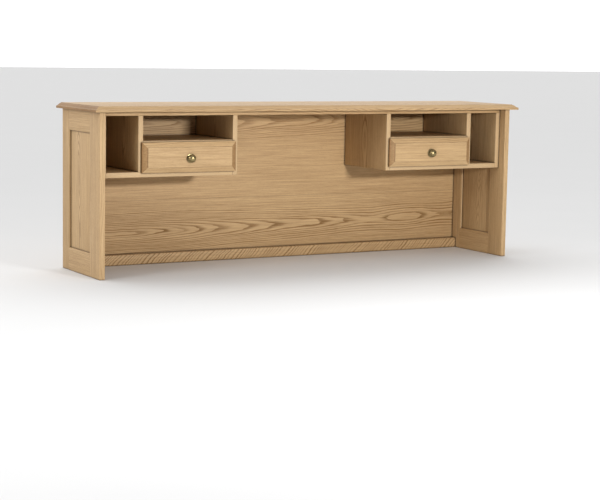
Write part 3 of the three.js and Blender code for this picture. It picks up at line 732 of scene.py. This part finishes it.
class HUTCH_OT_top(bpy.types.Operator):
    """Make the moulded top board and the sub-top under it"""

    bl_idname = "hutch.top"
    bl_label = "Top"

    def execute(self, context):
        sizes = context.scene.hutch_sizes
        low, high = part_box("top_board")
        cut = {**FLAT_SAWN, "Stave Width": TOP_STAVE}
        material = oak("top_oak", "top_board", LENGTHWISE_FLAT, **cut)
        finish_piece(moulded_top(low, high, sizes), "top_board", "oak", [material])
        cut = {**FLAT_SAWN, "Stave Width": SUB_TOP_STAVE}
        material = oak("sub_top_oak", "sub_top", LENGTHWISE_FLAT, **cut)
        eased_board("sub_top", "oak", [material], sizes.arris)
        return {"FINISHED"}


class HUTCH_OT_ends(bpy.types.Operator):
    """Make the stiles, rails and panels of both ends"""

    bl_idname = "hutch.ends"
    bl_label = "Framed ends"

    def execute(self, context):
        sizes = context.scene.hutch_sizes
        for side in SIDES:
            for part in ("front_stile", "rear_stile"):
                node = f"{side}_{part}"
                material = oak(f"{node}_oak", node, UPRIGHT, **RIFT_SAWN)
                eased_cut(node, "oak", [material], sizes.arris, 3)
            for part in ("top_rail", "bottom_rail"):
                node = f"{side}_{part}"
                material = oak(f"{node}_oak", node, FRONT_TO_BACK, **RIFT_SAWN)
                eased_cut(node, "oak", [material], sizes.arris, 3)
            node = f"{side}_end_panel"
            material = oak(f"{node}_oak", node, UPRIGHT, **FLAT_SAWN)
            eased_board(node, "oak", [material], sizes.arris)
        return {"FINISHED"}


class HUTCH_OT_back(bpy.types.Operator):
    """Make the plywood back and the rail at its foot"""

    bl_idname = "hutch.back"
    bl_label = "Back"

    def execute(self, context):
        sizes = context.scene.hutch_sizes
        material = back_veneer("back_veneer", "back_panel")
        eased_board("back_panel", "plywood", [material], sizes.box_arris)
        material = oak("back_rail_oak", "back_rail", LENGTHWISE_UPRIGHT, **WILD_SAWN)
        eased_board("back_rail", "oak", [material], sizes.arris)
        return {"FINISHED"}


class HUTCH_OT_units(bpy.types.Operator):
    """Make the boards of both cubby units, with their solid front edging"""

    bl_idname = "hutch.units"
    bl_label = "Cubby units"

    def execute(self, context):
        sizes = context.scene.hutch_sizes
        boards = {
            "inner_panel": UPRIGHT,
            "outer_panel": UPRIGHT,
            "divider": UPRIGHT,
            "unit_bottom": LENGTHWISE_FLAT,
            "drawer_shelf": LENGTHWISE_FLAT,
        }
        for side in SIDES:
            for part, turn in boards.items():
                node = f"{side}_{part}"
                low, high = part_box(node)
                shape = board(low, high)
                ease(shape, sizes.arris)
                joint = low.y + sizes.edging
                everything = shape.verts[:] + shape.edges[:] + shape.faces[:]
                bmesh.ops.bisect_plane(
                    shape, geom=everything, dist=0.001 * MM, plane_co=(0, joint, 0), plane_no=(0, 1, 0)
                )
                for face in shape.faces:
                    face.material_index = int(face.calc_center_median().y < joint)
                faced = oak(f"{node}_oak", node, turn, **FLAT_SAWN)
                edged = edging(f"{node}_edging", node, turn)
                finish_piece(shape, node, "oak", [faced, edged])
        return {"FINISHED"}


class HUTCH_OT_drawer_fronts(bpy.types.Operator):
    """Make the raised drawer fronts"""

    bl_idname = "hutch.drawer_fronts"
    bl_label = "Drawer fronts"

    def execute(self, context):
        for side in SIDES:
            node = f"{side}_drawer_front"
            material = oak(f"{node}_oak", node, LENGTHWISE_UPRIGHT, **RIFT_SAWN)
            eased_cut(node, "oak", [material], context.scene.hutch_sizes.box_arris, 3)
        return {"FINISHED"}


class HUTCH_OT_drawer_boxes(bpy.types.Operator):
    """Make the dovetailed drawer boxes and their bottoms"""

    bl_idname = "hutch.drawer_boxes"
    bl_label = "Drawer boxes"

    def execute(self, context):
        parts = {
            "drawer_box_front": LENGTHWISE_UPRIGHT,
            "drawer_box_back": LENGTHWISE_UPRIGHT,
            "drawer_inner_side": FRONT_TO_BACK,
            "drawer_outer_side": FRONT_TO_BACK,
            "drawer_bottom": LENGTHWISE_FLAT,
        }
        for side in SIDES:
            for part, turn in parts.items():
                node = f"{side}_{part}"
                material = maple(f"{node}_maple", node, turn)
                eased_cut(node, "maple", [material], context.scene.hutch_sizes.box_arris)
        return {"FINISHED"}


class HUTCH_OT_knobs(bpy.types.Operator):
    """Turn the brass knobs and their roses"""

    bl_idname = "hutch.knobs"
    bl_label = "Knobs"

    def execute(self, context):
        for side in SIDES:
            low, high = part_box(f"{side}_knob_rose")
            seat = Vector(((low.x + high.x) / 2, high.y, (low.z + high.z) / 2))
            radius, thick = (high.x - low.x) / 2, high.y - low.y
            shape = turned(rose_profile(radius, thick), seat, 64)
            finish_piece(shape, f"{side}_knob_rose", "brass", [shared(antique_brass)])
            low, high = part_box(f"{side}_knob")
            profile = knob_profile((high.x - low.x) / 2, seat.y - low.y, seat.y - high.y)
            shape = turned(profile, seat, 64)
            finish_piece(shape, f"{side}_knob", "brass", [shared(antique_brass)])
        return {"FINISHED"}


class HUTCH_OT_screws(bpy.types.Operator):
    """Turn the screws that hold the knobs and the drawer fronts"""

    bl_idname = "hutch.screws"
    bl_label = "Screws"

    def execute(self, context):
        for side in SIDES:
            for part in ("knob_screw", "inner_front_screw", "outer_front_screw"):
                node = f"{side}_{part}"
                low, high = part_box(node)
                radius = KNOB_SCREW_RADIUS if part == "knob_screw" else FRONT_SCREW_RADIUS
                middle = (low + high) / 2
                under_head = Vector((middle.x, high.y - HEAD_HEIGHT, middle.z))
                head_radius = (high.x - low.x) / 2
                profile = screw_profile(radius, under_head.y - low.y, head_radius)
                shape = turned(profile, under_head, 32)
                finish_piece(shape, node, "zinc", [shared(zinc_steel)])
        return {"FINISHED"}


class HUTCH_OT_slides(bpy.types.Operator):
    """Make the three nested members of each drawer slide"""

    bl_idname = "hutch.slides"
    bl_label = "Drawer slides"

    def execute(self, context):
        for side in SIDES:
            for place in ("inner", "outer"):
                for member in ("cabinet", "middle", "drawer"):
                    node = f"{side}_{place}_{member}_slide"
                    eased_cut(
                        node, "zinc", [shared(zinc_steel)],
                        context.scene.hutch_sizes.metal_arris, 1,
                    )
        return {"FINISHED"}


# ---- Stage ---------------------------------------------------------------------------------------


def soft_light(name, place, aim, size, power):
    """A rectangular area light aimed at a point."""
    lamp = bpy.data.lights.new(name, "AREA")
    lamp.shape = "RECTANGLE"
    lamp.size, lamp.size_y = size
    lamp.energy = power
    light = bpy.data.objects.new(name, lamp)
    light.location = place
    light.rotation_euler = (Vector(aim) - Vector(place)).to_track_quat("-Z", "Y").to_euler()
    bpy.context.scene.collection.objects.link(light)


def floor_paint():
    """The floor's matt paint with a barely visible mottle."""
    material, tree, shader = new_material("floor_paint")
    place = tree.nodes.new("ShaderNodeTexCoord").outputs["Object"]
    mottle = noise(tree, place, (2, 2, 2), (0.0, 0.0, 0.0))
    light, dark = [(tone, tone, tone, 1) for tone in (FLOOR_TONE, FLOOR_TONE * FLOOR_MOTTLE)]
    feed(tree, shader.inputs["Base Color"], blend(tree, mottle, light, dark))
    shader.inputs["Roughness"].default_value = 0.9
    return material


class HUTCH_OT_stage(bpy.types.Operator):
    """Lay the pale floor, set the soft lights and place the camera"""

    bl_idname = "hutch.stage"
    bl_label = "Floor, light and camera"

    def execute(self, context):
        scene = context.scene
        shape = bmesh.new()
        bmesh.ops.create_grid(shape, x_segments=8, y_segments=8, size=FLOOR_HALF)
        mesh = bpy.data.meshes.new("floor")
        shape.to_mesh(mesh)
        shape.free()
        mesh.materials.append(floor_paint())
        floor = bpy.data.objects.new("floor", mesh)
        scene.collection.objects.link(floor)

        world = bpy.data.worlds.new("studio")
        scene.world = world
        world.use_nodes = True
        sky = world.node_tree
        toward = add_node(sky, "ShaderNodeTexCoord", {}).outputs["Generated"]
        _, rearward, upward = add_node(sky, "ShaderNodeSeparateXYZ", {0: toward}).outputs
        glow = ramp(sky, rearward, 0.0, 0.5, FRONT_GLOW, BACK_GLOW)
        glow = maths(sky, "ADD", glow, ramp(sky, upward, 0.25, 0.9, 0.0, OVERHEAD_GLOW))
        feed(sky, sky.nodes["Background"].inputs["Strength"], glow)
        sky.nodes["Background"].inputs["Color"].default_value = (1, 1, 1, 1)
        for light in LIGHTS:
            soft_light(*light)

        camera = bpy.data.objects.new("camera", bpy.data.cameras.new("camera"))
        camera.data.lens = CAMERA_LENS
        camera.data.clip_end = VIEW_REACH
        turn = (
            Matrix.Rotation(-CAMERA_HEADING, 4, "Z")
            @ Matrix.Rotation(math.pi / 2 - CAMERA_DIP, 4, "X")
            @ Matrix.Rotation(CAMERA_ROLL, 4, "Z")
        )
        camera.matrix_world = Matrix.Translation(CAMERA_PLACE) @ turn
        scene.collection.objects.link(camera)
        scene.camera = camera
        scene.view_settings.view_transform = "Standard"
        return {"FINISHED"}


# ---- Panel and registration ----------------------------------------------------------------------

OPERATORS = (
    HUTCH_OT_stage,
    HUTCH_OT_top,
    HUTCH_OT_ends,
    HUTCH_OT_back,
    HUTCH_OT_units,
    HUTCH_OT_drawer_fronts,
    HUTCH_OT_drawer_boxes,
    HUTCH_OT_knobs,
    HUTCH_OT_screws,
    HUTCH_OT_slides,
)


class HUTCH_PT_panel(bpy.types.Panel):
    """Lists the steps that build the hutch"""

    bl_idname = "HUTCH_PT_panel"
    bl_label = "Desk hutch"
    bl_space_type = "VIEW_3D"
    bl_region_type = "UI"
    bl_category = "Hutch"

    def draw(self, context):
        for operator in OPERATORS:
            self.layout.operator(operator.bl_idname)
        for group in (context.scene.hutch_sizes, context.scene.hutch_colours):
            for name in group.__annotations__:
                self.layout.prop(group, name)


CLASSES = (HutchSizes, HutchColours, *OPERATORS, HUTCH_PT_panel)


def register():
    for cls in CLASSES:
        bpy.utils.register_class(cls)
    bpy.types.Scene.hutch_sizes = bpy.props.PointerProperty(type=HutchSizes)
    bpy.types.Scene.hutch_colours = bpy.props.PointerProperty(type=HutchColours)


def unregister():
    del bpy.types.Scene.hutch_colours
    del bpy.types.Scene.hutch_sizes
    for cls in reversed(CLASSES):
        bpy.utils.unregister_class(cls)


def main():
    register()
    bpy.ops.hutch.stage()
    bpy.ops.hutch.top()
    bpy.ops.hutch.ends()
    bpy.ops.hutch.back()
    bpy.ops.hutch.units()
    bpy.ops.hutch.drawer_fronts()
    bpy.ops.hutch.drawer_boxes()
    bpy.ops.hutch.knobs()
    bpy.ops.hutch.screws()
    bpy.ops.hutch.slides()


if __name__ == "__main__":
    main()
